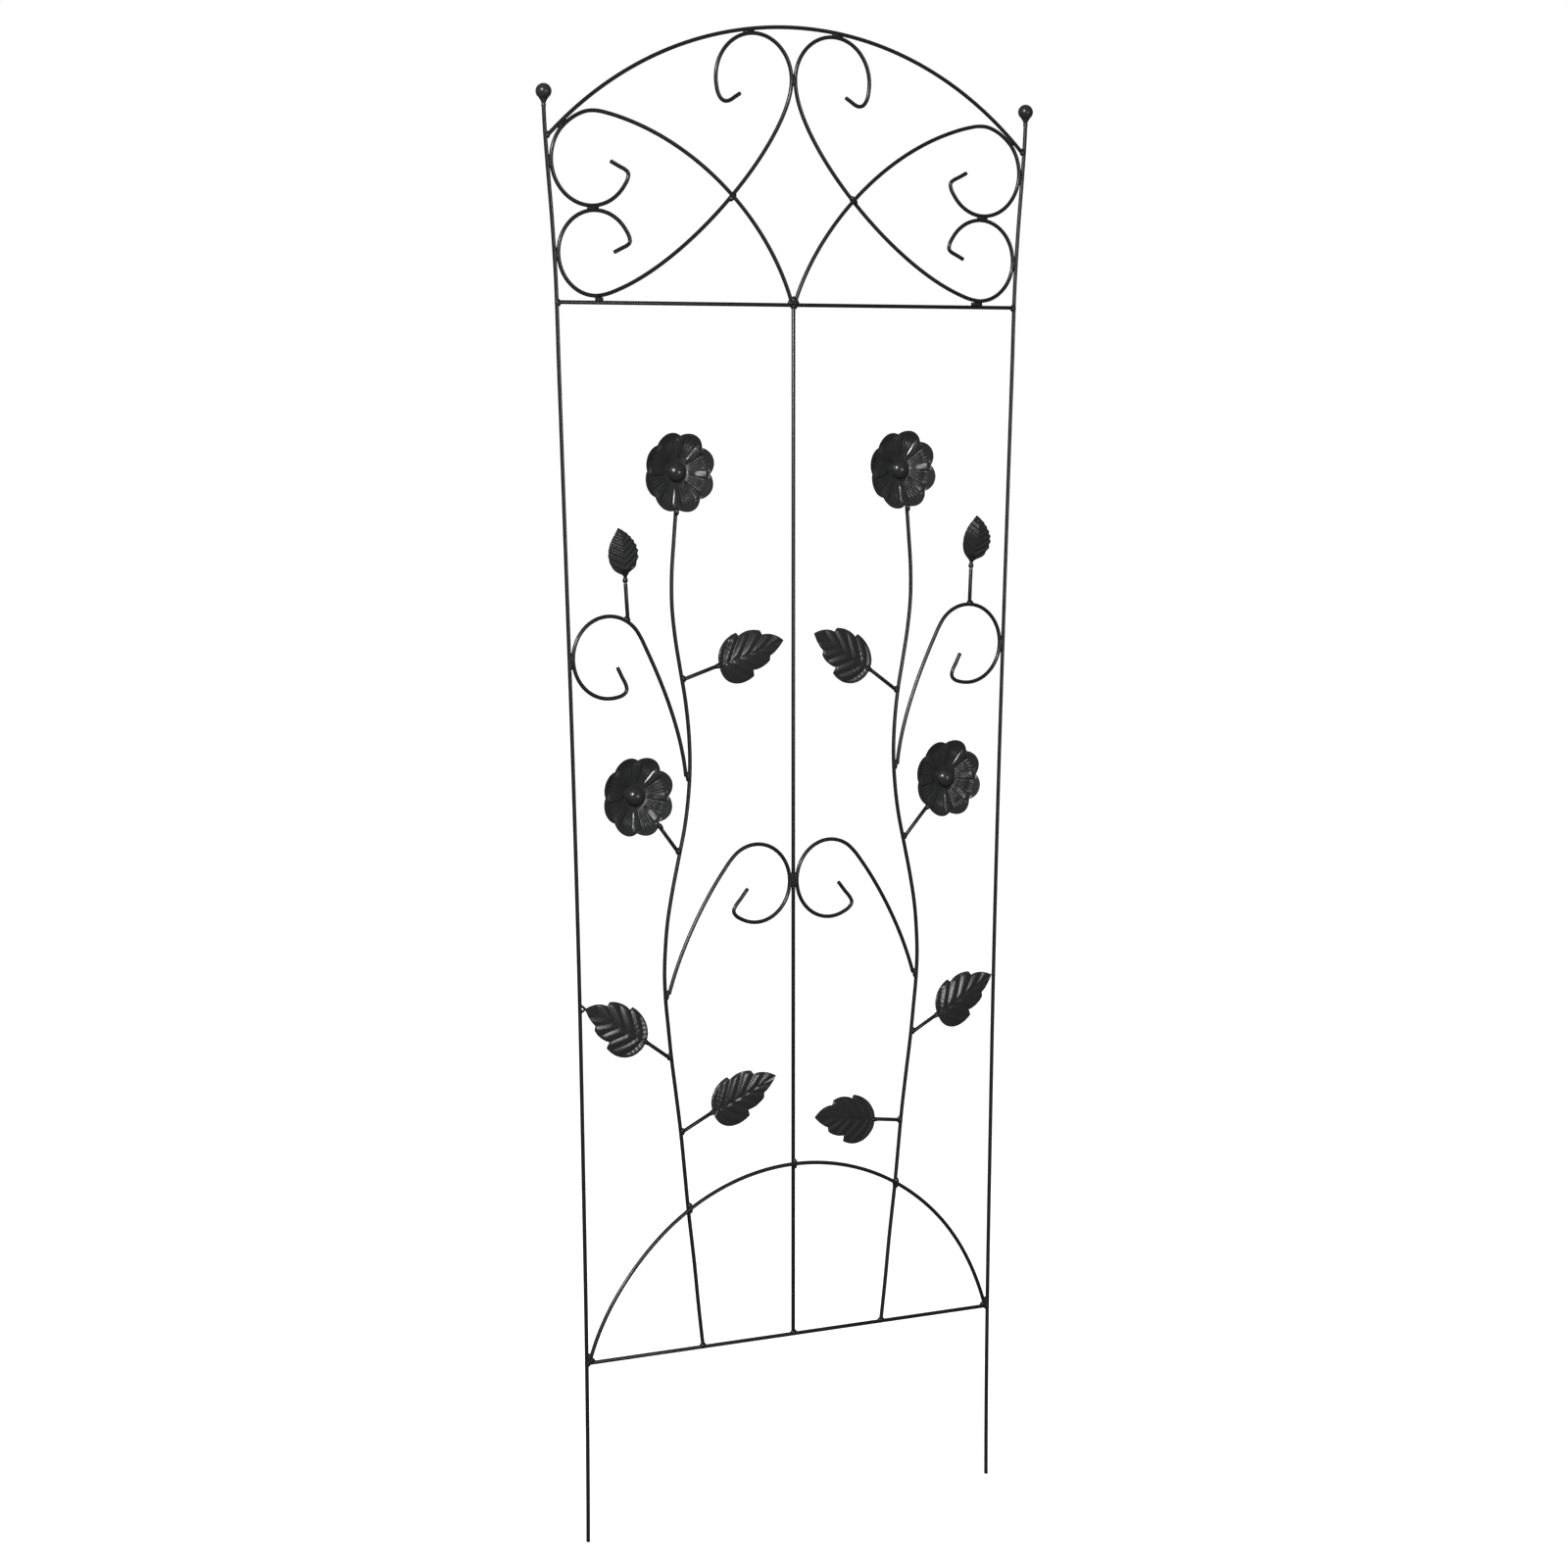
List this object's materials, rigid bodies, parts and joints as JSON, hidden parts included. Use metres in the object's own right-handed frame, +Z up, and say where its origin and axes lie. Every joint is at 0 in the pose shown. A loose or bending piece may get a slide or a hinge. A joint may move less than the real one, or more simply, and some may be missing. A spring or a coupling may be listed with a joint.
{
  "type": "garden trellis panel",
  "caption": "Arched flat garden trellis of welded black rod, with scrolls, vine stems, pressed flowers and leaves, ball finials and two legs that push into soil.",
  "frame": {"origin": "midway between the two leg ends, on the plane they end in", "axes": "+X across the panel to its right seen from the front, +Y to the back, away from the flowers' faces, +Z up"},
  "size_m": [0.5836, 0.0166, 1.5018],
  "materials": {
    "rods": "semi-gloss black powder coat on steel rod",
    "pressed_sheet": "semi-gloss black powder coat on pressed steel sheet",
    "finials": "semi-gloss black powder coat on turned steel"
  },
  "bodies": {
    "root": {"left_post": "rods", "right_post": "rods", "left_finial_collar": "finials", "right_finial_collar": "finials", "left_finial_ball": "finials", "right_finial_ball": "finials", "top_arch": "rods", "upper_crossbar": "rods", "lower_crossbar": "rods", "centre_bar": "rods", "lower_arch": "rods", "left_heart_scroll": "rods", "right_heart_scroll": "rods", "left_spacer": "rods", "right_spacer": "rods", "left_crown_scroll": "rods", "right_crown_scroll": "rods", "left_stem": "rods", "right_stem": "rods", "left_side_scroll": "rods", "right_side_scroll": "rods", "left_middle_scroll": "rods", "right_middle_scroll": "rods", "left_upper_flower": "pressed_sheet", "right_upper_flower": "pressed_sheet", "left_lower_flower": "pressed_sheet", "right_lower_flower": "pressed_sheet", "left_upper_flower_boss": "pressed_sheet", "right_upper_flower_boss": "pressed_sheet", "left_lower_flower_boss": "pressed_sheet", "right_lower_flower_boss": "pressed_sheet", "left_lower_flower_stalk": "rods", "right_lower_flower_stalk": "rods", "left_upper_inner_leaf": "pressed_sheet", "right_upper_inner_leaf": "pressed_sheet", "left_outer_leaf": "pressed_sheet", "right_outer_leaf": "pressed_sheet", "left_lower_inner_leaf": "pressed_sheet", "right_lower_inner_leaf": "pressed_sheet", "left_upper_inner_leaf_stalk": "rods", "right_upper_inner_leaf_stalk": "rods", "left_outer_leaf_stalk": "rods", "right_outer_leaf_stalk": "rods", "left_lower_inner_leaf_stalk": "rods", "right_lower_inner_leaf_stalk": "rods", "left_bud": "pressed_sheet", "right_bud": "pressed_sheet", "left_bud_knot": "pressed_sheet", "right_bud_knot": "pressed_sheet", "left_bud_stalk": "rods", "right_bud_stalk": "rods"}
  },
  "joints": []
}
